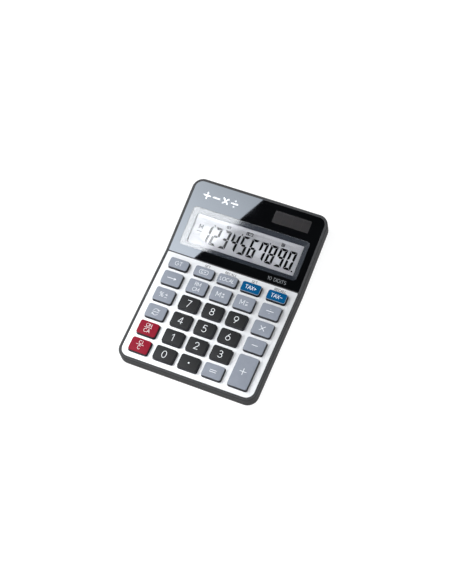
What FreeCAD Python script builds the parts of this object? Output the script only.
import FreeCAD, Part
import math
import os

# Desk calculator: a bent slab case with a flat keyboard deck in front and a tilted display head behind.
# Millimetres. X to the right, Y to the back, Z up. Origin: centre of the footprint, on the desk surface.
os.makedirs("parts", exist_ok=True)
Vec = FreeCAD.Vector
UP = Vec(0, 0, 1)

# ---- shared clearances ----
EASE = 0.1                  # between parts that are dropped into one another
MELD = 0.2                  # overlap that joins two solids into one
TALL = 40.0                 # higher than the whole calculator, for cutting tools that pass right through

# ---- driving dimensions: case ----
CASE_WIDTH = 104.0
RIM = 2.2                   # width of the case rim round the plate and the window
DECK_LENGTH = 84.8          # front edge of the plate to the bend
HEAD_LENGTH = 56.1          # bend to the rear edge of the window, measured along the head
HEAD_TILT = 9.5             # degrees
WALL_HEIGHT = 8.7           # slab thickness, the same along deck and head
FOOT_HEIGHT = 0.8
CASE_CORNER = 8.0
CASE_EDGE = 0.9             # rounding of the upper outer edge
RECESS_CORNER = 0.6         # corners of the plate and window recesses at the bend
BEND_CORNER = 0.5           # corners of the plate, window and mask at the bend
SKIRT = 2.0                 # side wall thickness
DECK_SHELL = 1.5            # plastic under the plate and under the window
FLOOR = 1.5                 # lower case floor
SEAM = 0.15                 # gap between the skirt and the lower case

# ---- driving dimensions: plate, keys and keypad (heights are below the plate's top face) ----
PLATE_THICKNESS = 0.5
PLATE_GAP = 0.1
PLATE_CORNER = 6.0
RIB = 0.7                   # case rib that shows between the plate and the window
COLUMNS = [-37.45, -18.0, 0.0, 18.0, 37.45]
ROW_PITCH = 13.58
FIRST_ROW = 3.67            # front edge of the first row of openings behind the plate's front edge
OPENING = (15.06, 11.3)
SHORT_OPENING_DEPTH = 8.45
OPENING_CORNER = 1.7
KEY_GAP = (0.18, 0.25)      # each side of a key in its opening
KEY_RISE = 2.95
KEY_DRAFT = 0.2             # each side, over the rise
KEY_CORNER = 1.5
KEY_CROWN = 100.0           # radius of the gently domed top
KEY_EDGE = 0.45
KEY_WALL = 1.2
KEY_HOLLOW_CORNER = 0.6
KEY_ROOF = 1.6              # height of the hollow's roof above the plate
ZERO_KEY_EXTRA = 0.9        # the zero key is this much wider, on its left
FLANGE = (0.8, 0.8)         # reach under the deck, and thickness
FLANGE_INSET = 1.5          # the flanges stop this far from the key's front and rear
POST_RADIUS = 1.6
DOME_TOP = 3.3
SHEET_TOP = 5.2
BOARD_TOP = 5.6
BOARD_THICKNESS = 1.0
DOME_RADII = (3.2, 2.2)
DOME_WALL = 0.4
DOME_CAP = 0.6
PILL = (1.5, 0.3)           # contact pill under each dome: radius and thickness
BOARD_HALF_WIDTH = 45.4
BOARD_CORNER = 1.0
SHEET_INSET = 0.6           # keypad sheet inside the board's edge, each side
SHEET_CORNER = 2.0
BOARD_POST_RADIUS = 1.25
POST_HOLE_RADIUS = 1.5      # holes in the keypad sheet round the board posts
CHIP_BLOB = (3.2, 1.0)      # radius and height
CHIP_HOLE = 4.0             # half width of the hole in the keypad sheet over the chip
COMPONENTS = [(1.0, 0.8), (0.8, 0.5), (0.8, 0.5), (1.6, 1.2), (1.0, 0.8)]     # widths and heights
COMPONENT_LENGTH = 1.8
COMPONENT_EDGE = 0.1
COMPONENT_PITCH = 2.2
COMPONENT_X = 35.5          # middle of the first one
JOINT_ROW = 82.6            # components and lead joints, behind the plate's front edge

# ---- driving dimensions: display head (heights are below the window's top face) ----
WINDOW_THICKNESS = 1.2
WINDOW_CORNER = 5.5
MASK_THICKNESS = 0.15
WINDOW_GAP = 0.03           # round its sides and rear
WINDOW_FRONT_GAP = 0.05
DISPLAY_WINDOW = (89.8, 6.9, 36.9)     # width, front edge and rear edge along the head
DISPLAY_CORNER = 2.5
VISIBLE_AREA = (82.0, 10.6, 33.3)
VISIBLE_CORNER = 0.5
SOLAR_WINDOW = (12.7, 40.4, 42.2, 51.7)
SOLAR_CORNER = 0.4
SOLAR_MARGIN = 1.2          # cell under the mask, round its window
SOLAR_GAP = 0.05            # above the cell
SOLAR_BACKING = (2.6, 2.2, 0.5)        # margins at the front and sides, and at the rear; thickness
BEZEL_MARGIN = 1.4
BEZEL_DEPTH = 1.5
BEZEL_CORNER = 1.0
GLASS = 0.7
GLASS_HALF_WIDTH = 43.5
GLASS_SPAN = (8.5, 35.3)
GLASS_LEDGE = 5.6           # the rear glass reaches this far forward to carry its contacts
REFLECTOR = 0.15
LCD_FRAME = (2.4, 1.0, 2.0)            # wall, thickness under the glass, and width of the lip
LCD_FRAME_FRONT = 0.8       # in front of the rear glass
RIBBON = (28.0, 0.12)       # half width and thickness
RIBBON_SPAN = (81.6, 84.0)  # its stretch on the board, behind the plate's front edge
RIBBON_LAP = 2.4            # its stretch on the ledge

# ---- driving dimensions: foot block, battery and fasteners ----
BLOCK_HALF_WIDTH = 40.0
BLOCK_FRONT = 12.0          # behind the bend
BLOCK_REAR = 7.0            # in front of the case's rear
BLOCK_CORNER = 5.0
BLOCK_WALL = 1.6
BLOCK_FLOOR = 1.2
CELL_RADIUS = 5.8
CELL_HEIGHT = 5.4
CELL_CAN_EDGE = 0.4
CELL_CAP = (1.0, 0.7, 0.3)  # narrower than the can by this, height above the can, rounding
CELL_X = -16.0
CELL_INSET = 13.5           # cell centre in front of the block's rear face
CELL_GAP = (0.5, 0.3)       # round the cell in its cup, and under it
CUP_WALL = 1.2
CUP_ROOF = 1.4              # cup above the cell
DOOR = (18.0, 21.0, 1.2)
DOOR_GAP = 0.15
DOOR_GROOVES = [3.0, 4.8, 6.6]         # finger grooves in front of the door's rear edge
GROOVE = (5.0, 0.4, 0.35)   # half length, half width and depth
TONGUE = (1.0, 0.4)
SHELF = 1.3                 # plastic over the door
SHELF_MARGIN = 1.4          # plastic round the door
SHELF_REAR = 0.5            # shelf in front of the block's rear face
CONTACT = (2.0, 0.2)        # half width and thickness of the contact strips
CONTACT_TAB = 1.8           # height of their lead tabs
CONTACT_GAP = (0.05, 0.08)  # above the cell's cap, and beside its can
CAP_TAB_REACH = 1.6         # strip over the cell, in front of the cup
CAN_TAB_REACH = 1.4         # strip beside the cell, behind the cup
FOOT_RADIUS = 4.0
FOOT_POCKET = 0.4
FOOT_EDGE = 0.3
PAD_RADIUS = 1.5            # board rests on the lower case
PAD_ROWS = [20.0, 60.0]     # behind the plate's front edge
SCREW_RADIUS = 0.85
SCREW_HEAD = (1.6, 1.0)
SCREW_HEAD_EDGE = 0.2
SCREW_CROSS = (0.6, 0.14, 0.6)         # shares: arm and half width of the head's radius, depth of its height
SCREW_TIP = 0.4             # chamfer, as a share of the screw's radius
BOARD_SCREW = (0.6, 1.2, 0.5)
BOARD_SCREW_LENGTH = 3.4
PILOT = (0.01, 0.3)         # pilot hole wider than its screw by this each side, and deeper

# ---- places worked out from them ----
tilt = math.radians(HEAD_TILT)
deck_z = FOOT_HEIGHT + WALL_HEIGHT
head_run = (HEAD_LENGTH + RIM) * math.cos(tilt)
case_depth = RIM + DECK_LENGTH + head_run
front_y = -case_depth / 2
rear_y = case_depth / 2
plate_y = front_y + RIM
bend_y = plate_y + DECK_LENGTH
head_frame = FreeCAD.Placement(Vec(0, bend_y, deck_z), FreeCAD.Rotation(Vec(1, 0, 0), HEAD_TILT))
block_front_y = bend_y + BLOCK_FRONT
block_rear_y = rear_y - BLOCK_REAR
joint_row_y = plate_y + JOINT_ROW


def save(name, shape):
    shape.exportStep("parts/" + name + ".step")


def box(x0, x1, y0, y1, z0, z1):
    return Part.makeBox(x1 - x0, y1 - y0, z1 - z0, Vec(x0, y0, z0))


def cylinder(radius, x, y, z0, z1):
    return Part.makeCylinder(radius, z1 - z0, Vec(x, y, z0))


def rounded_wire(x0, x1, y0, y1, z, radii):
    """Closed rectangle at height z; radii are front-left, front-right, rear-right, rear-left."""
    corners = [(x0, y0, 180), (x1, y0, 270), (x1, y1, 0), (x0, y1, 90)]
    centres = []
    for (x, y, start), r in zip(corners, radii):
        cx = x + r if x == x0 else x - r
        cy = y + r if y == y0 else y - r
        centres.append((cx, cy, r, start))
    edges = []
    for i, (cx, cy, r, start) in enumerate(centres):
        edges.append(Part.makeCircle(r, Vec(cx, cy, z), UP, start, start + 90))
        nx, ny, nr, nstart = centres[(i + 1) % 4]
        a = math.radians(start + 90)
        b = math.radians(nstart)
        leave = Vec(cx + r * math.cos(a), cy + r * math.sin(a), z)
        arrive = Vec(nx + nr * math.cos(b), ny + nr * math.sin(b), z)
        edges.append(Part.makeLine(leave, arrive))
    return Part.Wire(Part.__sortEdges__(edges))


def rounded_box(x0, x1, y0, y1, z0, z1, radius):
    radii = radius if isinstance(radius, tuple) else (radius,) * 4
    face = Part.Face(rounded_wire(x0, x1, y0, y1, z0, radii))
    return face.extrude(Vec(0, 0, z1 - z0))


def loft_box(lower, upper):
    """Solid between two rounded rectangles, each (x0, x1, y0, y1, z, radius)."""
    wires = [rounded_wire(*w[:5], (w[5],) * 4) for w in (lower, upper)]
    return Part.makeLoft(wires, True, True)


def side_prism(points, half_width):
    """Extrude a side outline of (y, z) points across the case."""
    outline = [Vec(-half_width, y, z) for y, z in points]
    return Part.Face(Part.makePolygon(outline + outline[:1])).extrude(Vec(2 * half_width, 0, 0))


def head_line(depth):
    """Height of a line parallel to the head, depth below its top face, as a function of y."""
    def height(y):
        return deck_z + (y - bend_y) * math.tan(tilt) - depth / math.cos(tilt)
    return height


def bend_at(deck_depth, head_depth):
    """Where the deck line and the head line at these depths meet."""
    rise = head_depth / math.cos(tilt) - deck_depth
    return bend_y + rise / math.tan(tilt)


def slab(inset, deck_top, head_top, bottom, corner):
    """Bent slab inside the case outline, from the depths of its two top faces and its underside."""
    y0 = front_y + inset
    y1 = rear_y - inset
    top_bend = bend_at(deck_top, head_top)
    low_bend = bend_at(bottom, bottom)
    outline = [
        (y0, deck_z - bottom),
        (low_bend, deck_z - bottom),
        (y1, head_line(bottom)(y1)),
        (y1, head_line(head_top)(y1)),
        (top_bend, deck_z - deck_top),
        (y0, deck_z - deck_top),
    ]
    half = CASE_WIDTH / 2 - inset
    solid = side_prism(outline, half)
    return solid.common(rounded_box(-half, half, y0, y1, -TALL, TALL, corner))


def openings():
    """Every key: name, opening centre x and y, opening width and depth."""
    rows = [
        ["clear_entry", "0", "point", "equals", "plus"],
        ["clear_all", "1", "2", "3", None],
        ["exchange", "4", "5", "6", "minus"],
        ["percent", "7", "8", "9", "times"],
        ["back", "memory_recall", "memory_plus", "memory_minus", "divide"],
        ["grand_total", "rate", "local", "tax_plus", "tax_minus"],
    ]
    found = []
    for i, row in enumerate(rows):
        y0 = plate_y + FIRST_ROW + ROW_PITCH * i
        for x, name in zip(COLUMNS, row):
            if name is None:
                continue
            width, depth = OPENING
            if i == len(rows) - 1:
                depth = SHORT_OPENING_DEPTH
            if name == "plus":
                depth += ROW_PITCH
            if name == "0":
                width += ZERO_KEY_EXTRA
                x -= ZERO_KEY_EXTRA / 2
            found.append(("key_" + name, x, y0 + depth / 2, width, depth))
    return found


keys = openings()
key_shell_top = deck_z - PLATE_THICKNESS
deck_under = deck_z - PLATE_THICKNESS - DECK_SHELL
head_shell_top = WINDOW_THICKNESS + MASK_THICKNESS
head_under = head_shell_top + DECK_SHELL


def cut_all(shape, tools):
    return shape.cut(Part.makeCompound(tools))


def fuse_all(shapes):
    return shapes[0].multiFuse(shapes[1:]).removeSplitter()


def on_head(shape):
    shape.Placement = head_frame
    return shape


# ---- screw places ----
board_posts = [
    (x, plate_y + FIRST_ROW + ROW_PITCH * i - (ROW_PITCH - OPENING[1]) / 2)
    for x in (-27.73, 27.73)
    for i in (1, 3, 5)
]
case_bosses = [
    (x, y)
    for x in (-47.6, 47.6)
    for y in (plate_y + 3.6, plate_y + 44.6, bend_y + 44.0)
]


def underside_z(y):
    """Height of the slab's underside at y."""
    return max(deck_z - WALL_HEIGHT, head_line(WALL_HEIGHT)(y))


def shell_under_z(y):
    """Height of the inner face of the deck or head shell at y."""
    return max(deck_under, head_line(head_under)(y))


# Heights of a case screw joint above the slab's underside: head seat, foot and top of the lower boss, and
# screw tip.
SEAT_RISE = 1.2
BOSS_FOOT = 0.5
BOSS_RISE = 3.0
BOSS_GAP = 0.05             # between the lower boss and the upper one
TIP_RISE = 6.0
BOSS_RADIUS = 2.3
HEAD_POCKET = 1.8
UPPER_BOSS_LIMITS = (0.3, 1.2)         # the upper bosses stay this far inside the case's sides and deck


def key_holes():
    """Openings through the plate and the deck, one round each key."""
    return [
        rounded_box(x - w / 2, x + w / 2, y - d / 2, y + d / 2, deck_under - 1, TALL, OPENING_CORNER)
        for _, x, y, w, d in keys
    ]


# ---- upper case ----
def outer_top_edges(outer):
    """The sharp edges that run round the top of the slab, outside, along deck and head."""
    found = []
    for edge in outer.Edges:
        middle = edge.valueAt((edge.FirstParameter + edge.LastParameter) / 2)
        outside = max(abs(middle.x) / (CASE_WIDTH / 2), abs(middle.y) / rear_y) > 0.95
        surface = max(deck_z, head_line(0)(middle.y))
        upright = abs(edge.tangentAt(edge.FirstParameter).z) > 0.9
        if outside and not upright and middle.z > surface - 0.5:
            found.append(edge)
    return found


def upper_case():
    outer = slab(0, 0, 0, WALL_HEIGHT, CASE_CORNER)
    shell = outer.makeFillet(CASE_EDGE, outer_top_edges(outer))
    cavity = slab(SKIRT, PLATE_THICKNESS + DECK_SHELL, head_under, WALL_HEIGHT + 5, CASE_CORNER - SKIRT)
    half = CASE_WIDTH / 2 - RIM
    plate_recess = rounded_box(-half, half, plate_y, bend_y - RIB, key_shell_top, TALL,
                               (PLATE_CORNER, PLATE_CORNER, RECESS_CORNER, RECESS_CORNER))
    window_recess = on_head(rounded_box(-half, half, 0, HEAD_LENGTH, -head_shell_top, TALL,
                                        (RECESS_CORNER, RECESS_CORNER, WINDOW_CORNER, WINDOW_CORNER)))
    width, s0, s1 = DISPLAY_WINDOW
    margin = BEZEL_MARGIN + EASE
    bezel_hole = on_head(rounded_box(-width / 2 - margin, width / 2 + margin, s0 - margin, s1 + margin,
                                     -head_under - 1, 0, BEZEL_CORNER))
    x0, x1, s0, s1 = SOLAR_WINDOW
    margin = SOLAR_MARGIN + EASE
    solar_hole = on_head(box(x0 - margin, x1 + margin, s0 - margin, s1 + margin, -head_under - 1, 0))
    shell = cut_all(shell, [cavity, plate_recess, window_recess, bezel_hole, solar_hole] + key_holes())
    posts = [
        cylinder(BOARD_POST_RADIUS, x, y, deck_z - BOARD_TOP, deck_under + MELD) for x, y in board_posts
    ]
    side_limit, deck_limit = UPPER_BOSS_LIMITS
    limits = slab(side_limit, deck_limit, head_shell_top, WALL_HEIGHT, CASE_CORNER)
    bosses = [
        cylinder(BOSS_RADIUS, x, y, underside_z(y) + BOSS_RISE, shell_under_z(y) + MELD).common(limits)
        for x, y in case_bosses
    ]
    wider, deeper = PILOT
    pilots = [
        cylinder(SCREW_RADIUS + wider, x, y, 0, underside_z(y) + TIP_RISE + deeper) for x, y in case_bosses
    ]
    board_screw_tip = deck_z - BOARD_TOP - BOARD_THICKNESS + BOARD_SCREW_LENGTH
    pilots += [
        cylinder(BOARD_SCREW[0] + wider, x, y, 0, board_screw_tip + deeper) for x, y in board_posts
    ]
    return cut_all(fuse_all([shell] + posts + bosses), pilots)


# ---- face plate ----
def face_plate():
    half = CASE_WIDTH / 2 - RIM - PLATE_GAP
    plate = rounded_box(-half, half, plate_y + PLATE_GAP, bend_y - RIB - PLATE_GAP, key_shell_top, deck_z,
                        (PLATE_CORNER, PLATE_CORNER, BEND_CORNER, BEND_CORNER))
    return cut_all(plate, key_holes())


# ---- keys ----
def key_cap(x, y, opening_width, opening_depth):
    """Drafted, crowned cap, hollow below, with side flanges that hold it in and a post over its dome."""
    w = opening_width / 2 - KEY_GAP[0]
    d = opening_depth / 2 - KEY_GAP[1]
    top = deck_z + KEY_RISE
    flange_top = deck_under - EASE
    flange_low = flange_top - FLANGE[1]
    lower = (x - w, x + w, y - d, y + d, deck_z, KEY_CORNER + KEY_DRAFT)
    upper = (x - w + KEY_DRAFT, x + w - KEY_DRAFT, y - d + KEY_DRAFT, y + d - KEY_DRAFT, top, KEY_CORNER)
    cap = loft_box(lower, upper)
    if opening_depth > opening_width:
        crown = Part.makeCylinder(KEY_CROWN, 2 * TALL, Vec(x, y - TALL, top - KEY_CROWN), Vec(0, 1, 0))
    else:
        crown = Part.makeSphere(KEY_CROWN, Vec(x, y, top - KEY_CROWN))
    cap = cap.common(crown)
    rim_edges = [e for e in cap.Edges if e.BoundBox.ZMin > top - 2 * KEY_EDGE]
    cap = cap.makeFillet(KEY_EDGE, rim_edges)
    stem = rounded_box(x - w, x + w, y - d, y + d, flange_low, deck_z, KEY_CORNER + KEY_DRAFT)
    flange = box(x - w - FLANGE[0], x + w + FLANGE[0], y - d + FLANGE_INSET, y + d - FLANGE_INSET,
                 flange_low, flange_top)
    hollow = rounded_box(x - w + KEY_WALL, x + w - KEY_WALL, y - d + KEY_WALL, y + d - KEY_WALL,
                         flange_low - 1, deck_z + KEY_ROOF, KEY_HOLLOW_CORNER)
    post = cylinder(POST_RADIUS, x, y, deck_z - DOME_TOP, deck_z + KEY_ROOF + MELD)
    body = cap.fuse(stem).fuse(flange).cut(hollow)
    return body.fuse(post).removeSplitter()


# ---- rubber keypad and main board ----
CHIP = (-9.0, plate_y + FIRST_ROW + 2 * ROW_PITCH + OPENING[1] / 2)
KEYPAD_SPAN = (plate_y + 2.0, plate_y + 81.0)
BOARD_SPAN = (plate_y + 1.6, plate_y + 84.4)


def rubber_keypad():
    half = BOARD_HALF_WIDTH - SHEET_INSET
    sheet = rounded_box(-half, half, *KEYPAD_SPAN, deck_z - BOARD_TOP, deck_z - SHEET_TOP, SHEET_CORNER)
    domes = []
    caves = []
    pills = []
    wide, narrow = DOME_RADII
    height = SHEET_TOP - DOME_TOP
    pill_radius, pill_thickness = PILL
    roof = deck_z - DOME_TOP - DOME_CAP
    cave_height = BOARD_TOP - DOME_TOP - DOME_CAP
    for _, x, y, _, _ in keys:
        domes.append(Part.makeCone(wide, narrow, height, Vec(x, y, deck_z - SHEET_TOP)))
        caves.append(Part.makeCone(wide - DOME_WALL, narrow - DOME_WALL, cave_height,
                                   Vec(x, y, deck_z - BOARD_TOP)))
        pills.append(cylinder(pill_radius, x, y, roof - pill_thickness, roof + MELD / 2))
    sheet = fuse_all([sheet] + domes)
    holes = [cylinder(POST_HOLE_RADIUS, x, y, 0, TALL) for x, y in board_posts]
    chip_x, chip_y = CHIP
    holes.append(box(chip_x - CHIP_HOLE, chip_x + CHIP_HOLE, chip_y - CHIP_HOLE, chip_y + CHIP_HOLE, 0, TALL))
    return fuse_all([cut_all(sheet, caves + holes)] + pills)


def main_board():
    low = deck_z - BOARD_TOP - BOARD_THICKNESS
    half = BOARD_HALF_WIDTH
    board = rounded_box(-half, half, *BOARD_SPAN, low, deck_z - BOARD_TOP, BOARD_CORNER)
    holes = [cylinder(BOARD_SCREW[0] + EASE, x, y, 0, TALL) for x, y in board_posts]
    holes += [cylinder(BOSS_RADIUS + 4 * EASE, x, y, 0, TALL) for x, y in case_bosses]
    return cut_all(board, holes)


def chip_blob():
    """Resin blob over the chip: the cap of a sphere."""
    radius, height = CHIP_BLOB
    ball = (radius ** 2 + height ** 2) / (2 * height)
    base = deck_z - BOARD_TOP
    x, y = CHIP
    sphere = Part.makeSphere(ball, Vec(x, y, base + height - ball))
    return sphere.common(cylinder(2 * radius, x, y, base, TALL))


def board_components():
    """Row of small surface-mounted parts behind the keypad."""
    base = deck_z - BOARD_TOP
    y0 = joint_row_y - COMPONENT_LENGTH / 2
    y1 = joint_row_y + COMPONENT_LENGTH / 2
    row = []
    for i, (width, height) in enumerate(COMPONENTS):
        x = COMPONENT_X + COMPONENT_PITCH * i
        part = box(x - width / 2, x + width / 2, y0, y1, base, base + height)
        row.append(part.makeFillet(COMPONENT_EDGE, part.Edges))
    return Part.makeCompound(row)


def screw(x, y, z, radius, head_radius, head_height, length):
    """Pan-head screw standing on its head at height z, pointing up, with a cross recess below."""
    body = cylinder(head_radius, x, y, z, z + head_height)
    body = body.makeFillet(SCREW_HEAD_EDGE, [e for e in body.Edges if e.BoundBox.ZMax < z + 0.01])
    shank = cylinder(radius, x, y, z + head_height / 2, z + head_height + length)
    end = [e for e in shank.Edges if e.BoundBox.ZMin > z + head_height + 1]
    tip = shank.makeChamfer(radius * SCREW_TIP, end)
    arm = head_radius * SCREW_CROSS[0]
    slot = head_radius * SCREW_CROSS[1]
    depth = head_height * SCREW_CROSS[2]
    recess = [
        box(x - arm, x + arm, y - slot, y + slot, z - 1, z + depth),
        box(x - slot, x + slot, y - arm, y + arm, z - 1, z + depth),
    ]
    return cut_all(body.fuse(tip).removeSplitter(), recess)


def board_screws():
    radius, head_radius, head_height = BOARD_SCREW
    z = deck_z - BOARD_TOP - BOARD_THICKNESS - head_height
    return Part.makeCompound([
        screw(x, y, z, radius, head_radius, head_height, BOARD_SCREW_LENGTH) for x, y in board_posts
    ])


def case_screws():
    head_radius, head_height = SCREW_HEAD
    length = TIP_RISE - SEAT_RISE
    found = []
    for x, y in case_bosses:
        z = underside_z(y) + SEAT_RISE - head_height
        found.append(screw(x, y, z, SCREW_RADIUS, head_radius, head_height, length))
    return Part.makeCompound(found)


# ---- display head ----
def display_window():
    half = CASE_WIDTH / 2 - RIM - WINDOW_GAP
    sheet = rounded_box(-half, half, WINDOW_FRONT_GAP, HEAD_LENGTH - WINDOW_GAP, -WINDOW_THICKNESS, 0,
                        (BEND_CORNER, BEND_CORNER, WINDOW_CORNER, WINDOW_CORNER))
    return on_head(sheet)


def display_mask():
    half = CASE_WIDTH / 2 - RIM - EASE
    film = rounded_box(-half, half, EASE, HEAD_LENGTH - EASE, -head_shell_top, -WINDOW_THICKNESS,
                       (BEND_CORNER, BEND_CORNER, WINDOW_CORNER, WINDOW_CORNER))
    width, s0, s1 = DISPLAY_WINDOW
    x0, x1, t0, t1 = SOLAR_WINDOW
    film = cut_all(film, [
        rounded_box(-width / 2, width / 2, s0, s1, -TALL, TALL, DISPLAY_CORNER),
        rounded_box(x0, x1, t0, t1, -TALL, TALL, SOLAR_CORNER),
    ])
    return on_head(film)


def display_bezel():
    """Frame whose inner faces slope down from the mask's window to the display's visible area."""
    width, s0, s1 = DISPLAY_WINDOW
    vis_width, v0, v1 = VISIBLE_AREA
    m = BEZEL_MARGIN
    top = -head_shell_top
    low = top - BEZEL_DEPTH
    frame = rounded_box(-width / 2 - m, width / 2 + m, s0 - m, s1 + m, low, top, BEZEL_CORNER)
    slope = loft_box((-vis_width / 2, vis_width / 2, v0, v1, low, VISIBLE_CORNER),
                     (-width / 2, width / 2, s0, s1, top, DISPLAY_CORNER))
    return on_head(frame.cut(slope))


def lcd_plate(front, low, thickness):
    return on_head(box(-GLASS_HALF_WIDTH, GLASS_HALF_WIDTH, front, GLASS_SPAN[1], low, low + thickness))


glass_top = -(head_shell_top + BEZEL_DEPTH)


def lcd_frame():
    """Open frame round the glass, with a lip under its edges and a gap in front for the connector."""
    wall, under, lip = LCD_FRAME
    half = GLASS_HALF_WIDTH + wall
    rear = GLASS_SPAN[1]
    low = glass_top - 2 * GLASS - under
    frame = box(-half, half, GLASS_LEDGE - LCD_FRAME_FRONT, rear + wall, low, glass_top)
    pocket = box(-GLASS_HALF_WIDTH - EASE, GLASS_HALF_WIDTH + EASE, 0, rear + EASE,
                 glass_top - 2 * GLASS - REFLECTOR - EASE / 2, glass_top + 1)
    light = box(-GLASS_HALF_WIDTH + lip, GLASS_HALF_WIDTH - lip, GLASS_LEDGE + lip, rear - lip,
                low - 1, glass_top)
    return on_head(cut_all(frame, [pocket, light]))


def head_point(s, n):
    """Side-view (y, z) of a head position: s along the head, n above its top face."""
    return (
        bend_y + s * math.cos(tilt) - n * math.sin(tilt),
        deck_z + s * math.sin(tilt) + n * math.cos(tilt),
    )


def lcd_connector():
    """Flat ribbon from the rear edge of the board up to the contact ledge of the rear glass."""
    half_width, thick = RIBBON
    ledge = glass_top - GLASS
    board = deck_z - BOARD_TOP
    start = plate_y + RIBBON_SPAN[0]
    end = plate_y + RIBBON_SPAN[1]
    fold = GLASS_LEDGE - 0.4
    outline = [
        (start, board),
        (end, board),
        head_point(fold, ledge),
        head_point(GLASS_LEDGE + RIBBON_LAP, ledge),
        head_point(GLASS_LEDGE + RIBBON_LAP, ledge + thick),
        head_point(fold - EASE, ledge + thick),
        (end - EASE, board + thick),
        (start, board + thick),
    ]
    return side_prism(outline, half_width)


def solar_cell():
    x0, x1, s0, s1 = SOLAR_WINDOW
    m = SOLAR_MARGIN
    return on_head(box(x0 - m, x1 + m, s0 - m, s1 + m, -head_under, -head_shell_top - SOLAR_GAP))


def solar_backing():
    x0, x1, s0, s1 = SOLAR_WINDOW
    m, rear, thick = SOLAR_BACKING
    return on_head(rounded_box(x0 - m, x1 + m, s0 - m, s1 + rear, -head_under - thick, -head_under, 0.5))


LEAD_RADIUS = 0.35
LEAD_BEND = 3.0
LEAD_BEND_SHARE = 0.45      # the most of a run that one bend takes


def wire(points):
    """Round lead along straight runs joined by tangent arcs."""
    edges = []
    start = points[0]
    for before, corner, after in zip(points, points[1:], points[2:]):
        into = corner - before
        out = after - corner
        half_turn = into.getAngle(out) / 2
        room = LEAD_BEND_SHARE * min(into.Length, out.Length)
        cut = min(LEAD_BEND * math.tan(half_turn), room)
        bend = cut / math.tan(half_turn)
        into.normalize()
        out.normalize()
        leave = corner - into * cut
        join = corner + out * cut
        inward = (out - into).normalize()
        middle = corner + inward * (bend / math.cos(half_turn) - bend)
        edges.append(Part.makeLine(start, leave))
        edges.append(Part.Arc(leave, middle, join).toShape())
        start = join
    edges.append(Part.makeLine(start, points[-1]))
    direction = (points[1] - points[0]).normalize()
    profile = Part.Wire([Part.makeCircle(LEAD_RADIUS, points[0], direction)])
    return Part.Wire(edges).makePipeShell([profile], True, False)


lead_z = deck_z - BOARD_TOP + LEAD_RADIUS


def board_end(x):
    """Last points of a lead: over the board's rear edge, then down to its joint on the board."""
    return [Vec(x, bend_y + 1.0, lead_z + 0.5), Vec(x, joint_row_y, lead_z + 0.02)]


def head_vec(x, s, n):
    y, z = head_point(s, n)
    return Vec(x, y, z)


def solar_leads():
    found = []
    joint_n = -head_under - SOLAR_BACKING[2] - LEAD_RADIUS
    for x in (30.5, 32.5):
        found.append(wire([
            head_vec(x, 50.0, joint_n),
            head_vec(x, 42.0, joint_n),
            head_vec(x, 38.6, -6.6),
            head_vec(x, 5.0, -6.6),
        ] + board_end(x)))
    return Part.makeCompound(found)


# ---- lower case, battery and feet ----
cell_y = block_rear_y - CELL_INSET
door_z0 = FOOT_HEIGHT
door_z1 = FOOT_HEIGHT + DOOR[2]
cell_z0 = door_z1 + CELL_GAP[1]
cell_z1 = cell_z0 + CELL_HEIGHT
cup_radius = CELL_RADIUS + CELL_GAP[0]
cup_outer = cup_radius + CUP_WALL
door_front_y = block_rear_y - DOOR[1]
door_mid_z = (door_z0 + door_z1) / 2
cap_tab_y = cell_y - cup_outer - CAP_TAB_REACH
can_tab_y = cell_y + cup_outer + CAN_TAB_REACH
feet = [
    (side * x, y)
    for x, y in ((41.0, plate_y + 8.5), (33.0, block_rear_y - 8.0))
    for side in (-1, 1)
]


def door_way():
    """Cutting tools for the door: its opening, and the grooves for its tongues."""
    half = DOOR[0] / 2 + DOOR_GAP
    front = door_front_y - DOOR_GAP
    reach, thick = TONGUE
    opening = box(CELL_X - half, CELL_X + half, front, block_rear_y + 1, door_z0 - 1, door_z1 + EASE)
    grooves = box(CELL_X - half - reach, CELL_X + half + reach, front, block_rear_y + 1,
                  door_mid_z - thick / 2 - EASE, door_mid_z + thick / 2 + EASE)
    return [opening, grooves]


def contact_slots():
    """Cutting tools for the contact strips: two slots through the cup and a channel down its inside."""
    half = CONTACT[0] + 0.2
    deep = 0.6
    return [
        box(CELL_X - half, CELL_X + half, cell_y - cup_outer - 0.5, cell_y - cup_radius + 0.5,
            cell_z1, cell_z1 + deep),
        box(CELL_X - half, CELL_X + half, cell_y + cup_radius - 0.5, cell_y + cup_outer + 0.5,
            cell_z1 - deep, cell_z1 + deep),
        box(CELL_X - half, CELL_X + half, cell_y + cup_radius - 1.0, cell_y + cup_radius + EASE,
            cell_z0, cell_z1 + deep),
    ]


def foot_block():
    """Wedge under the head, which the rear feet stand under, and the cutting tool that hollows it."""
    solid = rounded_box(-BLOCK_HALF_WIDTH, BLOCK_HALF_WIDTH, block_front_y, block_rear_y,
                        FOOT_HEIGHT, TALL, BLOCK_CORNER)
    top = WALL_HEIGHT - FLOOR
    under_floor = slab(SKIRT + SEAM, top, top, WALL_HEIGHT + TALL, CASE_CORNER)
    w = BLOCK_WALL
    hollow = rounded_box(-BLOCK_HALF_WIDTH + w, BLOCK_HALF_WIDTH - w, block_front_y + w, block_rear_y - w,
                         FOOT_HEIGHT + BLOCK_FLOOR, TALL, BLOCK_CORNER - w)
    return solid.common(under_floor), hollow


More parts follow.
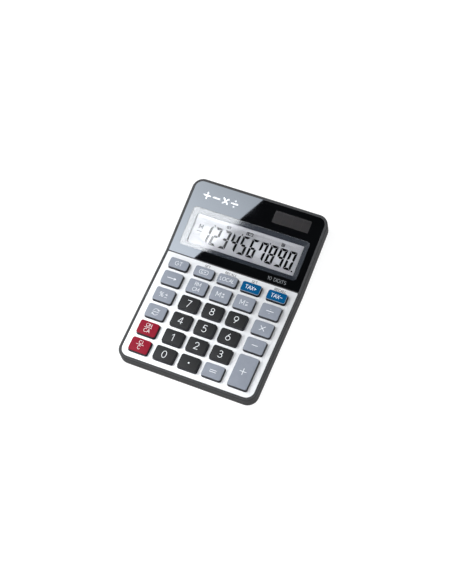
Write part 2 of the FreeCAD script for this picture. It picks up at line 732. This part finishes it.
def lower_case():
    inset = SKIRT + SEAM
    corner = CASE_CORNER - inset
    floor = slab(inset, WALL_HEIGHT - FLOOR, WALL_HEIGHT - FLOOR, WALL_HEIGHT, corner)
    block, hollow = foot_block()
    cup = cylinder(cup_outer, CELL_X, cell_y, door_z1, cell_z1 + CUP_ROOF)
    frame = DOOR[0] / 2 + DOOR_GAP + TONGUE[0] + SHELF_MARGIN
    shelf = box(CELL_X - frame, CELL_X + frame,
                door_front_y - DOOR_GAP - SHELF_MARGIN, block_rear_y - SHELF_REAR,
                FOOT_HEIGHT, door_z1 + SHELF)
    inside = slab(inset, 0, 0, WALL_HEIGHT, corner)
    bosses = []
    for x, y in case_bosses:
        z = underside_z(y)
        bosses.append(cylinder(BOSS_RADIUS, x, y, z + BOSS_FOOT, z + BOSS_RISE - BOSS_GAP).common(inside))
    pads = [
        cylinder(PAD_RADIUS, x, plate_y + row, deck_z - WALL_HEIGHT + FLOOR - MELD,
                 deck_z - BOARD_TOP - BOARD_THICKNESS)
        for x in COLUMNS[::2]
        for row in PAD_ROWS
    ]
    body = fuse_all([floor.fuse(block).cut(hollow), shelf, cup] + bosses + pads)
    cuts = door_way() + contact_slots()
    cuts.append(cylinder(cup_radius, CELL_X, cell_y, FOOT_HEIGHT, cell_z1 + CUP_ROOF - 0.8))
    for x, y in case_bosses:
        z = underside_z(y)
        cuts.append(cylinder(HEAD_POCKET, x, y, z - 3, z + SEAT_RISE))
        cuts.append(cylinder(SCREW_RADIUS + DOOR_GAP, x, y, z - 3, z + BOSS_RISE + 1))
    for x, y in feet:
        cuts.append(cylinder(FOOT_RADIUS + EASE / 2, x, y, 0, FOOT_HEIGHT + FOOT_POCKET))
    return cut_all(body, cuts)


def battery_door():
    """Flat door with tongues at its sides and three finger grooves."""
    half = DOOR[0] / 2
    reach = half + TONGUE[0] - EASE
    thick = TONGUE[1]
    plate = box(CELL_X - half, CELL_X + half, door_front_y, block_rear_y, door_z0, door_z1)
    tongues = box(CELL_X - reach, CELL_X + reach, door_front_y, block_rear_y - 1.0,
                  door_mid_z - thick / 2, door_mid_z + thick / 2)
    half_length, half_width, depth = GROOVE
    grooves = [
        box(CELL_X - half_length, CELL_X + half_length, y - half_width, y + half_width,
            door_z0 - 1, door_z0 + depth)
        for y in [block_rear_y - place for place in DOOR_GROOVES]
    ]
    return cut_all(plate.fuse(tongues).removeSplitter(), grooves)


def coin_cell():
    narrower, cap_height, cap_edge = CELL_CAP
    can = cylinder(CELL_RADIUS, CELL_X, cell_y, cell_z0, cell_z1 - cap_height)
    can = can.makeFillet(CELL_CAN_EDGE, [e for e in can.Edges if e.BoundBox.ZMax < cell_z0 + 0.01])
    cap = cylinder(CELL_RADIUS - narrower, CELL_X, cell_y, cell_z1 - cap_height - EASE, cell_z1)
    cap = cap.makeFillet(cap_edge, [e for e in cap.Edges if e.BoundBox.ZMin > cell_z1 - 0.01])
    return can.fuse(cap).removeSplitter()


def strip(y0, y1, z0, z1):
    """One flat run of a contact strip."""
    return box(CELL_X - CONTACT[0], CELL_X + CONTACT[0], y0, y1, z0, z1)


def battery_contact_cap():
    """Strip over the cell with a raised tab outside the cup for its lead."""
    thick = CONTACT[1]
    z = cell_z1 + CONTACT_GAP[0]
    flat = strip(cap_tab_y, cell_y + 3.0, z, z + thick)
    tab = strip(cap_tab_y, cap_tab_y + thick, z, z + CONTACT_TAB)
    return flat.fuse(tab).removeSplitter()


def battery_contact_can():
    """Strip down the side of the cell, bent over the cup's edge to a tab for its lead."""
    thick = CONTACT[1]
    z = cell_z1 - 2 * thick
    y_in = cell_y + CELL_RADIUS + CONTACT_GAP[1]
    down = strip(y_in, y_in + thick, cell_z0 + 0.8, z + thick)
    over = strip(y_in, can_tab_y, z, z + thick)
    tab = strip(can_tab_y - thick, can_tab_y, z, z + CONTACT_TAB)
    return down.fuse(over).fuse(tab).removeSplitter()


def battery_leads():
    """Two leads from the tabs, round the foot block and forward under the display to the board."""
    near = cap_tab_y - LEAD_RADIUS
    far = can_tab_y + LEAD_RADIUS
    first = wire([
        Vec(CELL_X, near, cell_z1 + 1.4),
        Vec(CELL_X - 1.0, near - 4.0, 6.2),
        Vec(-31.0, block_front_y + 14.0, 5.9),
        Vec(-33.0, bend_y + 9.0, 4.7),
    ] + board_end(-33.0))
    second = wire([
        Vec(CELL_X, far, cell_z1 + 1.0),
        Vec(CELL_X - 4.0, far + 1.2, cell_z1 - 0.4),
        Vec(-30.5, far - 4.0, 5.6),
        Vec(-33.5, block_front_y + 20.0, 5.9),
        Vec(-35.0, bend_y + 9.0, 4.7),
    ] + board_end(-35.0))
    return Part.makeCompound([first, second])


def rubber_feet():
    found = []
    for x, y in feet:
        foot = cylinder(FOOT_RADIUS, x, y, 0, FOOT_HEIGHT + FOOT_POCKET)
        found.append(foot.makeFillet(FOOT_EDGE, [e for e in foot.Edges if e.BoundBox.ZMax < 0.01]))
    return Part.makeCompound(found)


save("upper_case", upper_case())
save("face_plate", face_plate())
for key_name, key_x, key_y, key_w, key_d in keys:
    save(key_name, key_cap(key_x, key_y, key_w, key_d))
save("rubber_keypad", rubber_keypad())
save("main_board", main_board())
save("chip_blob", chip_blob())
save("board_components", board_components())
save("board_screws", board_screws())
save("case_screws", case_screws())
save("display_window", display_window())
save("display_mask", display_mask())
save("display_bezel", display_bezel())
save("lcd_front_glass", lcd_plate(GLASS_SPAN[0], glass_top - GLASS, GLASS))
save("lcd_rear_glass", lcd_plate(GLASS_LEDGE, glass_top - 2 * GLASS, GLASS))
save("lcd_reflector", lcd_plate(GLASS_SPAN[0], glass_top - 2 * GLASS - REFLECTOR, REFLECTOR))
save("lcd_frame", lcd_frame())
save("lcd_connector", lcd_connector())
save("solar_cell", solar_cell())
save("solar_backing", solar_backing())
save("solar_leads", solar_leads())
save("lower_case", lower_case())
save("battery_door", battery_door())
save("coin_cell", coin_cell())
save("battery_contact_cap", battery_contact_cap())
save("battery_contact_can", battery_contact_can())
save("battery_leads", battery_leads())
save("rubber_feet", rubber_feet())
